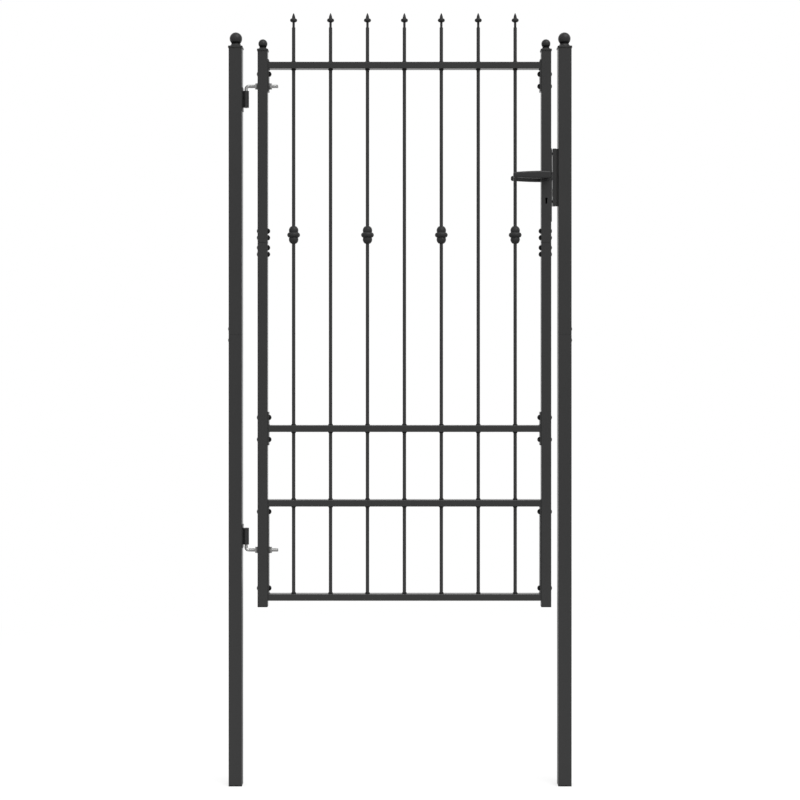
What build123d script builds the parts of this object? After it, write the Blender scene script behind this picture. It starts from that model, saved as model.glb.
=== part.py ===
from build123d import *
import math
import os

# Garden gate: two square posts, a leaf of round pickets with spear tips, two hook hinges and a lever lock.
# Millimetres. X runs across the opening, Y through it (front is -Y) and Z up from the posts' feet.
# The origin is midway between the posts. The hinge side is at -X and the latch side at +X.

HINGE_SIDE = -1
LATCH_SIDE = 1

# Clearances
slide_clearance = 0.2       # plugs, sleeves and bars in their tubes and holes, each side
running_clearance = 0.05    # hinge pins and lock bosses in their bores, radially
moving_gap = 0.3            # between pieces that pass each other

# Opening and posts
clear_opening = 950.0       # between the posts' inner faces
post_size = 40.0
post_wall = 1.5
post_top = 2218.0           # upper end of the post tube
tube_corner = 2.0           # outer corner radius of the square tubes
least_bore_corner = 0.3     # inner corner radius where the wall is thicker than that
foot_rim = 3.0              # visible rim of the plugs under posts and stiles
plug_depth = 22.0
plug_wall = 2.0
sleeve_wall = 2.0

# Post splice
post_splice_z = 1356.6
post_splice_gap = 0.4
post_sleeve_length = 150.0
post_screw_spacing = 34.1
post_screw_length = 14.0

# Ball caps
cap_overhang = 1.75         # skirt beyond the tube, each side
post_cap_rim = 6.0
post_cap_flare = 10.8
post_cap_neck_diameter = 26.5
post_ball_radius = 18.9
stile_cap_rim = 6.0
stile_cap_flare = 7.5
stile_cap_neck_diameter = 20.0
stile_ball_radius = 13.7
cap_waist_width = 0.3       # flare's middle section, as a share of shoulder less neck
cap_waist_rise = 0.4        # its height, as a share of the flare's
cap_waist_rounding = 0.38   # its corner radius, as a share of its width
cap_neck_rounding = 0.495   # neck's corner radius, as a share of its width: all but round

# Leaf frame
hinge_gap = 46.4            # hinge post to hinge stile
latch_gap = 20.6            # latch stile to latch post
stile_size = 30.0
stile_wall = 1.5
leaf_bottom = 537.2
stile_rise = 43.5           # top rail's middle to the stiles' upper ends
stile_splice_z = 1633.5
stile_splice_gap = 0.9
stile_sleeve_length = 110.0
splice_bolt_near = 15.0     # from the splice to the nearer bolt of each pair
splice_bolt_far = 35.0
rail_height = 20.0
rail_depth = 30.0
rail_wall = 1.5
top_rail_z = 2166.5
middle_rail_z = 1073.6
lower_rail_z = 849.3
bottom_rail_z = 566.2

# Plates between the rails' ends and the stiles
plate_thickness = 4.0
plate_depth = 27.0
top_plate_rise = 7.5        # above the top rail
top_plate_length = 96.0
middle_plate_length = 100.0
top_bolt_drop = 25.0        # top rail's middle to the upper bolt
hook_drop = 61.9            # top rail's middle to the hinge hook, and to the bolt opposite it
middle_bolt_offset = 33.2
lower_bolt_offset = 26.4

# Bolts through the stiles
bolt_diameter = 6.0
bolt_head_diameter = 14.0
bolt_head_height = 3.6
bolt_head_edge = 0.9        # straight edge under the dome
nut_diameter = 15.6
nut_height = 7.0
nut_edge = 2.2
thread_grip = 4.5           # bolt end inside its domed nut

# Pickets, spears and collars
picket_count = 7
picket_pitch = 111.3
picket_diameter = 10.5
picket_wall = 1.3
picket_rise = 115.2         # top rail's middle to the spears' shoulders
spear_spigot_length = 14.0
spear_shoulder = 1.6
spear_neck_diameter = 7.4
spear_neck_length = 17.1
spear_bead_diameter = 21.4
spear_bead_height = 10.4
spear_spike_base = 10.6
spear_spike_height = 16.4
spear_tip_radius = 0.5
spike_bulge_width = 0.68    # spike's radius at its bulge, as a share of its base
spike_bulge_rise = 0.56     # height of that place, as a share of the spike's
collar_z = 1656.8
collar_pitch = 15.65        # middle bead to outer bead
collar_bead_diameter = 28.3
collar_middle_diameter = 38.6
collar_waist_diameter = 26.3
collar_end_diameter = 15.0
collar_end_rise = 10.4      # outer bead's middle to the collar's end
collar_step = 2             # every second picket has a collar

# Hook hinges
hinge_plate_thickness = 2.5
hinge_plate_depth = 30.0
hinge_plate_length = 70.5
hinge_plate_corner = 3.0
barrel_diameter = 17.0
barrel_length = 50.0
weld_depth = 9.0            # weld seam between barrel and plate, across Y
upper_barrel_top = 2090.5
lower_barrel_bottom = 724.0
barrel_off_plate = 0.9      # upper barrel's middle above, lower barrel's middle below, its plate's middle
hook_diameter = 10.0
hook_bend_radius = 8.0
hook_pin_diameter = 8.0
hook_pin_length = 46.0
hook_tip_chamfer = 1.0
lower_hook_gap = 2.7        # lower barrel's end to the shoulder of its hook
hook_inner_length = 31.2    # past the stile's inner face
hook_nut_across_flats = 16.0
hook_nut_height = 8.0
hook_nut_flange_diameter = 20.0
hook_nut_flange_height = 1.8

# Lever handle
spindle_z = 1833.8
spindle_size = 7.0
lever_plane = 49.0          # lever's middle from the gate's middle plane
lever_length = 102.2        # spindle to tip
lever_hub_end = 9.6         # spindle to the lever's other end
lever_hub_height = 22.4
lever_belly_height = 21.1
lever_tip_height = 14.6
lever_belly_place = 50.6    # spindle to where the belly's height is taken
lever_drop = 0.65           # blade's middle line below the spindle
lever_thickness = 12.0
lever_corner = 5.5
lever_edge = 5.0
lever_neck_diameter = 18.0
lever_socket_depth = 4.0    # spindle end past the lever's back face
rose_diameter = 27.0
rose_thickness = 5.0
rose_edge = 1.2

# Lock
case_depth = 26.4           # behind the stile's outer face
case_thickness = 16.0
case_wall = 1.2
case_above = 46.2           # above and below the spindle
case_below = 103.8
follower_diameter = 13.0
follower_overhang = 0.5     # boss past the case on each side
arm_lean = 15.0             # degrees towards the forend at rest
arm_length = 15.2
arm_width = 4.4
arm_thickness = 5.0
latch_height = 25.0
latch_thickness = 12.0
latch_throw = 8.0
latch_bevel = 6.0           # how far the bevel runs back from the nose
latch_bevel_depth = 9.6     # and how far across it
tail_thickness = 2.0
tail_leg_width = 8.6
lug_thickness = 2.2
lug_height = 3.4
spring_lug_height = 5.0
spring_lug_setback = 9.5    # behind the latch head
spring_strip = 0.5
spring_width = 6.0
spring_drop = 14.0          # below its lug
spring_foot = 7.2           # width of the hairpin's lower end
spring_bend_radius = 1.8
bolt_drop = 49.8            # spindle to the dead bolt's middle
dead_bolt_height = 22.0
dead_bolt_thickness = 11.0
dead_bolt_head_length = 15.0
dead_bolt_recess = 0.5      # nose behind the forend's face at rest
dead_bolt_tail_length = 10.0
dead_bolt_tail_thickness = 5.0
talon_width = 6.0
talon_depth = 3.0
forend_thickness = 2.0
forend_depth = 22.0
forend_above = 82.7         # above and below the spindle
forend_below = 137.3
forend_screw_inset = 20.5
small_screw_diameter = 4.0
small_screw_head_diameter = 8.0
small_screw_head_height = 0.8
small_screw_head_edge = 0.2
small_screw_length = 10.0
key_drop = 69.2             # spindle to the key's axis
keyhole_diameter = 7.4
keyhole_slot_width = 5.2
keyhole_slot_drop = 14.8    # key's axis to the slot's end
key_stop_thickness = 1.2    # web in the case's middle plane, where a key from either side ends

# Strike on the latch post
strike_gap = 2.6            # forend to strike
strike_sheet = 2.0
strike_depth = 30.0
strike_base_width = 6.0     # narrower base against the post
strike_base_setback = 4.0   # how far it is set back at front and rear
strike_above = 81.7
strike_below = 89.7
strike_screw_inset = 13.6
strike_screw_diameter = 5.0
strike_screw_head_diameter = 9.0
strike_screw_head_height = 1.6
strike_screw_head_edge = 0.3
strike_screw_length = 26.0

# Places worked out from the sizes above
post_x = (clear_opening + post_size) / 2
post_face = clear_opening / 2
hinge_stile_x = -post_face + hinge_gap + stile_size / 2
latch_stile_x = post_face - latch_gap - stile_size / 2
stile_x = {HINGE_SIDE: hinge_stile_x, LATCH_SIDE: latch_stile_x}
leaf_middle = (hinge_stile_x + latch_stile_x) / 2
stile_top = top_rail_z + stile_rise
picket_top = top_rail_z + picket_rise
rail_start = hinge_stile_x + stile_size / 2 + plate_thickness
rail_end = latch_stile_x - stile_size / 2 - plate_thickness
picket_xs = [leaf_middle + picket_pitch * (i - (picket_count - 1) / 2) for i in range(picket_count)]
picket_hole_radius = picket_diameter / 2 + slide_clearance
hinge_axis_x = -post_face + hinge_plate_thickness + barrel_diameter / 2
upper_hook_z = top_rail_z - hook_drop
hook_rise = upper_hook_z - upper_barrel_top - moving_gap
lower_hook_z = lower_barrel_bottom - hook_rise - lower_hook_gap
bolt_hole_radius = bolt_diameter / 2 + slide_clearance
hook_hole_radius = hook_diameter / 2 + slide_clearance
lock_face = latch_stile_x + stile_size / 2
forend_face = lock_face + forend_thickness
strike_face = forend_face + strike_gap
key_z = spindle_z - key_drop
dead_bolt_z = spindle_z - bolt_drop
follower_radius = follower_diameter / 2
latch_rear = latch_stile_x + follower_radius + latch_throw + moving_gap
latch_nose = forend_face + latch_throw
head_gap = moving_gap / 2   # latch and dead bolt in their windows, each side


# Building blocks

def span_box(x0, x1, y0, y1, z0, z1):
    """Box between two corners."""
    middle = Pos((x0 + x1) / 2, (y0 + y1) / 2, (z0 + z1) / 2)
    return middle * Box(x1 - x0, y1 - y0, z1 - z0)


def rod_x(radius, x0, x1, z, y=0.0):
    """Round bar along X."""
    return Pos((x0 + x1) / 2, y, z) * Rot(0, 90, 0) * Cylinder(radius, abs(x1 - x0))


def rod_y(radius, y0, y1, x, z):
    """Round bar along Y."""
    return Pos(x, (y0 + y1) / 2, z) * Rot(90, 0, 0) * Cylinder(radius, abs(y1 - y0))


def rod_z(radius, z0, z1, x=0.0, y=0.0):
    """Round bar along Z."""
    return Pos(x, y, (z0 + z1) / 2) * Cylinder(radius, abs(z1 - z0))


def tube_section(width, depth, wall):
    """Rounded rectangular tube section on the XY plane."""
    outside = RectangleRounded(width, depth, tube_corner)
    bore_corner = max(tube_corner - wall, least_bore_corner)
    return outside - RectangleRounded(width - 2 * wall, depth - 2 * wall, bore_corner)


def upright_tube(x, size, wall, z0, z1):
    """Square tube standing at x."""
    return Pos(x, 0, z0) * extrude(tube_section(size, size, wall), z1 - z0)


def turned(outline):
    """Solid of revolution about Z from a closed outline of (radius, height) lines."""
    return revolve(make_face(Plane.XZ * outline), Axis.Z)


def dome_arc(radius, z0, z1):
    """Arc of a round dome from its edge at z0 to its top at z1, in (radius, height)."""
    rise = z1 - z0
    sphere = (radius ** 2 + rise ** 2) / (2 * rise)
    half_turn = math.asin(min(1.0, radius / sphere)) / 2
    middle = (sphere * math.sin(half_turn), z1 - sphere * (1 - math.cos(half_turn)))
    return ThreePointArc((radius, z0), middle, (0, z1))


def domed_disc(diameter, edge, height):
    """Low domed head standing on Z = 0."""
    radius = diameter / 2
    foot = Polyline((0, height), (0, 0), (radius, 0), (radius, edge))
    return turned(foot + dome_arc(radius, edge, height))


def facing_x(shape, x, z, side):
    """Turn a shape standing on Z so that it stands on a face at x and points to that side along X."""
    return Pos(x, 0, z) * Rot(0, 90 * side, 0) * shape


def group(shapes):
    """Separate solids kept together as one node."""
    return Compound(children=list(shapes))


# Posts

def post_tube(side, upper):
    """Half of a post, above or below its splice, with its screw hole and what the latch post needs."""
    x = side * post_x
    z0 = post_splice_z + post_splice_gap / 2 if upper else foot_rim
    z1 = post_top if upper else post_splice_z - post_splice_gap / 2
    tube = upright_tube(x, post_size, post_wall, z0, z1)
    screw_z = post_splice_z + post_screw_spacing / 2 * (1 if upper else -1)
    tube -= rod_x(bolt_hole_radius, x, x + side * post_size, screw_z)
    if side == LATCH_SIDE and upper:
        for z in strike_screw_levels():
            tube -= rod_x(strike_screw_diameter / 2 + slide_clearance, x - post_size, x, z)
    return tube


def post_sleeve(side):
    """Inner tube that joins the two halves of a post."""
    size = post_size - 2 * (post_wall + slide_clearance)
    half = post_sleeve_length / 2
    tube = upright_tube(side * post_x, size, sleeve_wall, post_splice_z - half, post_splice_z + half)
    for z in post_screw_levels():
        tube -= rod_x(bolt_hole_radius, side * post_x, side * (post_x + post_size), z)
    return tube


def post_screw_levels():
    """Heights of the two screws of a post splice."""
    return [post_splice_z + step * post_screw_spacing / 2 for step in (-1, 1)]


def post_splice_screw(side, z):
    """Domed screw through a post's outer face into its sleeve."""
    face = side * (post_x + post_size / 2)
    head = facing_x(domed_disc(bolt_head_diameter, bolt_head_edge, bolt_head_height), face, z, side)
    return head + rod_x(bolt_diameter / 2, face - side * post_screw_length, face, z)


def tube_plug(size, wall, z_open, direction):
    """Hollow square plug reaching into a tube from its end at z_open; direction is +1 upwards."""
    outer = size - 2 * (wall + slide_clearance)
    section = tube_section(outer, outer, plug_wall)
    return Pos(0, 0, z_open) * extrude(section, direction * plug_depth)


def foot_plug(x, size, wall, z0):
    """Plastic plug with a flat rim under a tube."""
    rim = extrude(RectangleRounded(size, size, tube_corner), foot_rim)
    return Pos(x, 0, z0) * (rim + tube_plug(size, wall, foot_rim, 1))


def ball_cap(x, size, wall, z0, rim, flare, neck_diameter, ball_radius):
    """Cap with a square skirt, a flare drawn in to a round neck, and a ball."""
    skirt = size + 2 * cap_overhang
    corner = tube_corner + cap_overhang
    base = extrude(RectangleRounded(skirt, skirt, corner), rim)
    base = fillet(base.edges().group_by(Axis.Z)[-1], cap_overhang)
    neck_radius = neck_diameter / 2
    shoulder = skirt - 2 * cap_overhang
    waist = neck_diameter + (shoulder - neck_diameter) * cap_waist_width
    sections = [
        Pos(0, 0, rim) * RectangleRounded(shoulder, shoulder, corner),
        Pos(0, 0, rim + flare * cap_waist_rise) * RectangleRounded(waist, waist, waist * cap_waist_rounding),
        Pos(0, 0, rim + flare) * RectangleRounded(neck_diameter, neck_diameter,
                                                  neck_diameter * cap_neck_rounding),
    ]
    ball_z = rim + flare + math.sqrt(ball_radius ** 2 - neck_radius ** 2)
    cap = base + loft(sections) + Pos(0, 0, ball_z) * Sphere(ball_radius) + tube_plug(size, wall, 0, -1)
    return Pos(x, 0, z0) * cap


# Hinges

def hinge_bracket(barrel_z, plate_z):
    """Plate and barrel welded to the hinge post, bored for the hook's pin."""
    plate = extrude(RectangleRounded(hinge_plate_length, hinge_plate_depth, hinge_plate_corner),
                    hinge_plate_thickness)
    plate = facing_x(plate, -post_face, plate_z, LATCH_SIDE)
    z0 = barrel_z - barrel_length / 2
    z1 = barrel_z + barrel_length / 2
    barrel = rod_z(barrel_diameter / 2, z0, z1, hinge_axis_x)
    weld = span_box(-post_face + hinge_plate_thickness / 2, hinge_axis_x,
                    -weld_depth / 2, weld_depth / 2, z0, z1)
    bore = rod_z(hook_pin_diameter / 2 + running_clearance, z0, z1, hinge_axis_x)
    return plate + barrel + weld - bore


def hinge_hook(z, pin_side):
    """L-shaped hook bolt through the hinge stile, its pin pointing down (-1) or up (+1) into a barrel."""
    end_x = hinge_stile_x + stile_size / 2 + hook_inner_length
    bend = FilletPolyline((0, 0, -hook_rise), (0, 0, 0), (end_x - hinge_axis_x, 0, 0),
                          radius=hook_bend_radius)
    bar = sweep(Plane(bend @ 0, z_dir=bend % 0) * Circle(hook_diameter / 2), path=bend)
    bar = chamfer(bar.faces().sort_by(Axis.X)[-1].edges(), hook_tip_chamfer)
    pin = rod_z(hook_pin_diameter / 2, -hook_rise - hook_pin_length, -hook_rise)
    pin = chamfer(pin.faces().sort_by(Axis.Z)[0].edges(), hook_tip_chamfer)
    hook = bar + pin
    if pin_side > 0:
        hook = Rot(180, 0, 0) * hook
    return Pos(hinge_axis_x, 0, z) * hook


def hook_nut(face, z, side):
    """Flanged hex nut on the hook, standing on a face and pointing along X."""
    hexagon = RegularPolygon(hook_nut_across_flats / 2, 6, major_radius=False)
    body = extrude(hexagon, hook_nut_height)
    flange = Pos(0, 0, hook_nut_flange_height / 2) * Cylinder(hook_nut_flange_diameter / 2,
                                                              hook_nut_flange_height)
    bore = Pos(0, 0, hook_nut_height / 2) * Cylinder(hook_hole_radius, 2 * hook_nut_height)
    return facing_x(body + flange - bore, face, z, side)


def hook_levels():
    """Heights of the two hooks."""
    return [upper_hook_z, lower_hook_z]


def hook_nuts():
    """A nut outside the hinge stile and one inside its plate, on each hook."""
    outer_face = hinge_stile_x - stile_size / 2
    inner_face = hinge_stile_x + stile_size / 2 + plate_thickness
    nuts = [hook_nut(outer_face, z, HINGE_SIDE) for z in hook_levels()]
    return nuts + [hook_nut(inner_face, z, LATCH_SIDE) for z in hook_levels()]


# Leaf frame

def plate_bolt_levels(side):
    """Heights of the bolts that hold the rails' plates to a stile."""
    levels = [
        top_rail_z - top_bolt_drop,
        middle_rail_z + middle_bolt_offset,
        middle_rail_z - middle_bolt_offset,
        lower_rail_z - lower_bolt_offset,
        bottom_rail_z + lower_bolt_offset,
    ]
    if side == LATCH_SIDE:
        levels.append(upper_hook_z)
    return levels


def splice_bolt_levels():
    """Heights of the four bolts of a stile splice."""
    offsets = (splice_bolt_far, splice_bolt_near, -splice_bolt_near, -splice_bolt_far)
    return [stile_splice_z + offset for offset in offsets]


def stile_tube(side, upper):
    """Half of a stile, above or below its splice, with its bolt holes."""
    x = stile_x[side]
    z0 = stile_splice_z + stile_splice_gap / 2 if upper else leaf_bottom + foot_rim
    z1 = stile_top if upper else stile_splice_z - stile_splice_gap / 2
    tube = upright_tube(x, stile_size, stile_wall, z0, z1)
    holes = [(z, bolt_hole_radius) for z in plate_bolt_levels(side) + splice_bolt_levels()]
    if side == HINGE_SIDE:
        holes += [(z, hook_hole_radius) for z in hook_levels()]
    for z, radius in holes:
        if z0 < z < z1:
            tube -= rod_x(radius, x - stile_size, x + stile_size, z)
    if side == LATCH_SIDE and upper:
        tube -= lock_cutouts()
    return tube


def stile_sleeve(side):
    """Inner tube that joins the two halves of a stile."""
    size = stile_size - 2 * (stile_wall + slide_clearance)
    half = stile_sleeve_length / 2
    tube = upright_tube(stile_x[side], size, sleeve_wall, stile_splice_z - half, stile_splice_z + half)
    for z in splice_bolt_levels():
        tube -= rod_x(bolt_hole_radius, stile_x[side] - stile_size, stile_x[side] + stile_size, z)
    return tube


def rail(z, open_below):
    """Flat tube between the plates, holed for the pickets; the bottom rail keeps a closed underside."""
    section = tube_section(rail_height, rail_depth, rail_wall)
    bar = Pos(rail_start, 0, z) * Rot(0, 90, 0) * extrude(section, rail_end - rail_start)
    hole_bottom = z - rail_height if open_below else z
    for x in picket_xs:
        bar -= rod_z(picket_hole_radius, hole_bottom, z + rail_height, x)
    return bar


def fixing_plate(side, z0, z1):
    """Flat plate on a stile's inner face, holed for its bolts and, on the hinge side, the hooks."""
    inner_face = stile_x[side] - side * stile_size / 2
    far_face = inner_face - side * plate_thickness
    plate = span_box(min(inner_face, far_face), max(inner_face, far_face),
                     -plate_depth / 2, plate_depth / 2, z0, z1)
    holes = [(z, bolt_hole_radius) for z in plate_bolt_levels(side)]
    if side == HINGE_SIDE:
        holes += [(z, hook_hole_radius) for z in hook_levels()]
    for z, radius in holes:
        if z0 < z < z1:
            plate -= rod_x(radius, inner_face - stile_size, inner_face + stile_size, z)
    return plate


def stile_bolt(side, z):
    """Domed bolt through a stile from its outer face to its nut."""
    outer_face = stile_x[side] + side * stile_size / 2
    head = facing_x(domed_disc(bolt_head_diameter, bolt_head_edge, bolt_head_height), outer_face, z, side)
    end = nut_seat(side, z) - side * thread_grip
    return head + rod_x(bolt_diameter / 2, min(outer_face, end), max(outer_face, end), z)


def nut_seat(side, z):
    """Face that a bolt's nut stands on: the plate's, or the stile's at the splice."""
    inner_face = stile_x[side] - side * stile_size / 2
    on_plate = z in plate_bolt_levels(side)
    return inner_face - side * (plate_thickness if on_plate else 0)


def stile_nut(side, z):
    """Domed nut on the inner end of a stile bolt."""
    seat = nut_seat(side, z)
    nut = facing_x(domed_disc(nut_diameter, nut_edge, nut_height), seat, z, -side)
    depth = thread_grip + slide_clearance
    return nut - rod_x(bolt_hole_radius, seat, seat - side * depth, z)


# Pickets

def picket(x):
    """Round tube from inside the bottom rail up to the spear's shoulder."""
    z0 = bottom_rail_z - rail_height / 2 + rail_wall
    z1 = picket_top - spear_shoulder
    return rod_z(picket_diameter / 2, z0, z1, x) - rod_z(picket_diameter / 2 - picket_wall, z0, z1, x)


def spear(x):
    """Turned spear tip: spigot in the tube, shoulder, thin neck, bead and ogive spike."""
    shoulder_radius = picket_diameter / 2
    spigot_radius = shoulder_radius - picket_wall - slide_clearance
    neck_radius = spear_neck_diameter / 2
    spike_radius = spear_spike_base / 2
    bead_z = spear_neck_length
    spike_z = bead_z + spear_bead_height
    tip_z = spike_z + spear_spike_height
    bead_middle = (spear_bead_diameter / 2, bead_z + spear_bead_height / 2)
    spike_middle = (spike_radius * spike_bulge_width, spike_z + spear_spike_height * spike_bulge_rise)
    foot = Polyline((0, tip_z), (0, -spear_shoulder - spear_spigot_length),
                    (spigot_radius, -spear_shoulder - spear_spigot_length),
                    (spigot_radius, -spear_shoulder), (shoulder_radius, -spear_shoulder),
                    (shoulder_radius, 0), (neck_radius, 0), (neck_radius, bead_z))
    bead = ThreePointArc((neck_radius, bead_z), bead_middle, (spike_radius, spike_z))
    spike = ThreePointArc((spike_radius, spike_z), spike_middle, (spear_tip_radius, tip_z))
    return Pos(x, 0, picket_top) * turned(foot + bead + spike + Line((spear_tip_radius, tip_z), (0, tip_z)))


def collar(x):
    """Three stacked beads cast as one ring round a picket."""
    waist = collar_waist_diameter / 2
    end = collar_end_diameter / 2
    half_pitch = collar_pitch / 2
    top = collar_pitch + collar_end_rise
    outer_bead = collar_bead_diameter / 2
    bore = picket_hole_radius
    profile = Polyline((end, top), (bore, top), (bore, -top), (end, -top))
    profile += ThreePointArc((end, -top), (outer_bead, -collar_pitch), (waist, -half_pitch))
    profile += ThreePointArc((waist, -half_pitch), (collar_middle_diameter / 2, 0), (waist, half_pitch))
    profile += ThreePointArc((waist, half_pitch), (outer_bead, collar_pitch), (end, top))
    return Pos(x, 0, collar_z) * turned(profile)


# Lever handle

def lever(side):
    """Bellied lever with a round neck and a square socket; side is -1 at the front and +1 at the rear."""
    stations = ((-lever_length, lever_tip_height), (-lever_belly_place, lever_belly_height),
                (lever_hub_end, lever_hub_height))
    lower, upper = [[(along, -lever_drop + edge * height / 2) for along, height in stations]
                    for edge in (-1, 1)]
    outline = ThreePointArc(*lower) + Line(lower[-1], upper[-1]) + ThreePointArc(*upper)
    blade_face = make_face(outline + Line(upper[0], lower[0]))
    blade_face = fillet(blade_face.vertices(), lever_corner)
    blade = Plane.XZ * extrude(blade_face, lever_thickness / 2, both=True)
    blade = fillet(blade.faces().sort_by(Axis.Y)[0].edges(), lever_edge)
    blade = fillet(blade.faces().sort_by(Axis.Y)[-1].edges(), lever_edge)
    neck_end = lever_plane - stile_size / 2 - moving_gap
    socket_end = lever_thickness / 2 - lever_socket_depth
    neck = rod_y(lever_neck_diameter / 2, 0, neck_end, 0, 0)
    socket_half = spindle_size / 2 + slide_clearance
    socket = span_box(-socket_half, socket_half, socket_end, neck_end, -socket_half, socket_half)
    handle = blade + neck - socket
    if side > 0:
        handle = mirror(handle, Plane.XZ)
    return Pos(latch_stile_x, side * lever_plane, spindle_z) * handle


def spindle():
    """Square bar between the levers' sockets."""
    half_length = lever_plane - lever_thickness / 2 + lever_socket_depth - slide_clearance
    return Pos(latch_stile_x, 0, spindle_z) * Box(spindle_size, 2 * half_length, spindle_size)


def rose(side):
    """Ring round the lever's neck on the stile's face."""
    bore = lever_neck_diameter / 2 + moving_gap
    ring = extrude(Circle(rose_diameter / 2), rose_thickness)
    ring = fillet(ring.edges().sort_by(Axis.Z)[-1], rose_edge)
    ring -= Cylinder(bore, 4 * rose_thickness)
    return Pos(latch_stile_x, side * stile_size / 2, spindle_z) * Rot(-90 * side, 0, 0) * ring


# Lock

def keyhole(y0, y1):
    """Keyhole, round above and slotted below, as a cutter along Y."""
    slot_half = keyhole_slot_width / 2
    slot = span_box(latch_stile_x - slot_half, latch_stile_x + slot_half, y0, y1,
                    key_z - keyhole_slot_drop, key_z)
    return slot + rod_y(keyhole_diameter / 2, y0, y1, latch_stile_x, key_z)


def forend_screw_levels():
    """Heights of the forend's two screws."""
    return [spindle_z + forend_above - forend_screw_inset, spindle_z - forend_below + forend_screw_inset]


def lock_cutouts():
    """What the lock takes out of the latch stile: the case's slot, keyholes, spindle and screw holes."""
    half = case_thickness / 2 + slide_clearance
    cutter = span_box(latch_stile_x, lock_face + stile_wall, -half, half,
                      spindle_z - case_below - slide_clearance, spindle_z + case_above + slide_clearance)
    cutter += keyhole(-stile_size, stile_size)
    cutter += rod_y(follower_radius + moving_gap, -stile_size, stile_size, latch_stile_x, spindle_z)
    for z in forend_screw_levels():
        cutter += rod_x(small_screw_diameter / 2 + slide_clearance, latch_stile_x, lock_face + stile_wall, z)
    return cutter


def lock_case():
    """Sheet box behind the forend, open towards it, bored for the follower and the key, with a key stop."""
    back = lock_face - case_depth
    half = case_thickness / 2
    z0 = spindle_z - case_below
    z1 = spindle_z + case_above
    case = span_box(back, lock_face, -half, half, z0, z1)
    case -= span_box(back + case_wall, lock_face + case_wall, case_wall - half, half - case_wall,
                     z0 + case_wall, z1 - case_wall)
    case -= rod_y(follower_radius + running_clearance, -case_thickness, case_thickness,
                  latch_stile_x, spindle_z)
    case -= keyhole(-case_thickness, case_thickness)
    stop_top = dead_bolt_z - dead_bolt_height / 2 - moving_gap
    return case + span_box(back, lock_face - moving_gap, -key_stop_thickness / 2, key_stop_thickness / 2,
                           z0, stop_top)


def forend():
    """Cover strip on the stile with windows for the latch and the dead bolt."""
    half = forend_depth / 2
    strip = span_box(lock_face, forend_face, -half, half, spindle_z - forend_below, spindle_z + forend_above)
    for z, height, thickness in ((spindle_z, latch_height, latch_thickness),
                                 (dead_bolt_z, dead_bolt_height, dead_bolt_thickness)):
        strip -= bolt_window(lock_face, forend_face, z, height, thickness, head_gap)
    for z in forend_screw_levels():
        strip -= rod_x(small_screw_diameter / 2 + slide_clearance, latch_stile_x, strike_face, z)
    return strip


def bolt_window(x0, x1, z, height, thickness, gap):
    """Cutter for the window that a latch or bolt passes through."""
    half_y = thickness / 2 + gap
    half_z = height / 2 + gap
    return span_box(x0 - forend_thickness, x1 + forend_thickness, -half_y, half_y, z - half_z, z + half_z)


def forend_screw(z):
    """Low domed screw through the forend into the stile's wall."""
    head = domed_disc(small_screw_head_diameter, small_screw_head_edge, small_screw_head_height)
    shank = rod_x(small_screw_diameter / 2, forend_face - small_screw_length, forend_face, z)
    return facing_x(head, forend_face, z, LATCH_SIDE) + shank


def follower():
    """Round boss with a square bore, and the arm that draws the latch back."""
    half = case_thickness / 2 + follower_overhang
    boss = Rot(90, 0, 0) * Cylinder(follower_radius, 2 * half)
    arm = Pos(0, 0, arm_length / 2) * Box(arm_width, arm_thickness, arm_length)
    bore = Box(spindle_size + 2 * slide_clearance, 4 * half, spindle_size + 2 * slide_clearance)
    return Pos(latch_stile_x, 0, spindle_z) * (boss + Rot(0, arm_lean, 0) * arm - bore)


def latch():
    """Bevelled latch head on a forked tail that passes above and below the follower."""
    half_z = latch_height / 2
    half_y = latch_thickness / 2
    head = span_box(latch_rear, latch_nose, -half_y, half_y, -half_z, half_z)
    bevel = make_face(Polyline((latch_nose, half_y), (latch_nose - latch_bevel, half_y),
                               (latch_nose, half_y - latch_bevel_depth), close=True))
    head -= extrude(bevel, latch_height, both=True)
    tail_y = half_y - tail_thickness
    gap = follower_radius + 2 * moving_gap
    lug_face = latch_stile_x + arm_contact_x() - moving_gap
    lug_back = lug_face - lug_thickness
    leg_top = gap + tail_leg_width
    upper_leg = span_box(lug_back, latch_rear, tail_y, half_y, gap, leg_top)
    lug = span_box(lug_back, lug_face, -arm_thickness / 2, half_y, leg_top - lug_height, leg_top)
    spring_lug_x = latch_rear - spring_lug_setback
    lower_leg = span_box(spring_lug_x, latch_rear, tail_y, half_y, -gap - spring_lug_height, -gap)
    spring_lug = span_box(spring_lug_x, spring_lug_x + lug_thickness, -spring_width / 2, half_y,
                          -gap - spring_lug_height, -gap)
    return Pos(0, 0, spindle_z) * (head + upper_leg + lug + lower_leg + spring_lug)


def arm_contact_x():
    """Rear face of the follower's arm at rest, at the lug's lower edge, from the spindle along X."""
    lug_bottom = follower_radius + 2 * moving_gap + tail_leg_width - lug_height
    lean = math.radians(arm_lean)
    return lug_bottom * math.tan(lean) - arm_width / 2 / math.cos(lean)


def latch_spring():
    """Hairpin strip spring between the case's back and the latch's lower lug."""
    back = lock_face - case_depth + case_wall + spring_strip
    front = latch_rear - spring_lug_setback - spring_strip
    top = -follower_radius - 2 * moving_gap - spring_lug_height / 2
    bottom = top - spring_drop
    path = FilletPolyline((back, top), (back, bottom), (back + spring_foot, bottom), (front, top),
                          radius=spring_bend_radius)
    strip = extrude(trace(path, spring_strip), spring_width / 2, both=True)
    return Pos(0, 0, spindle_z) * (Plane.XZ * strip)


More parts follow.
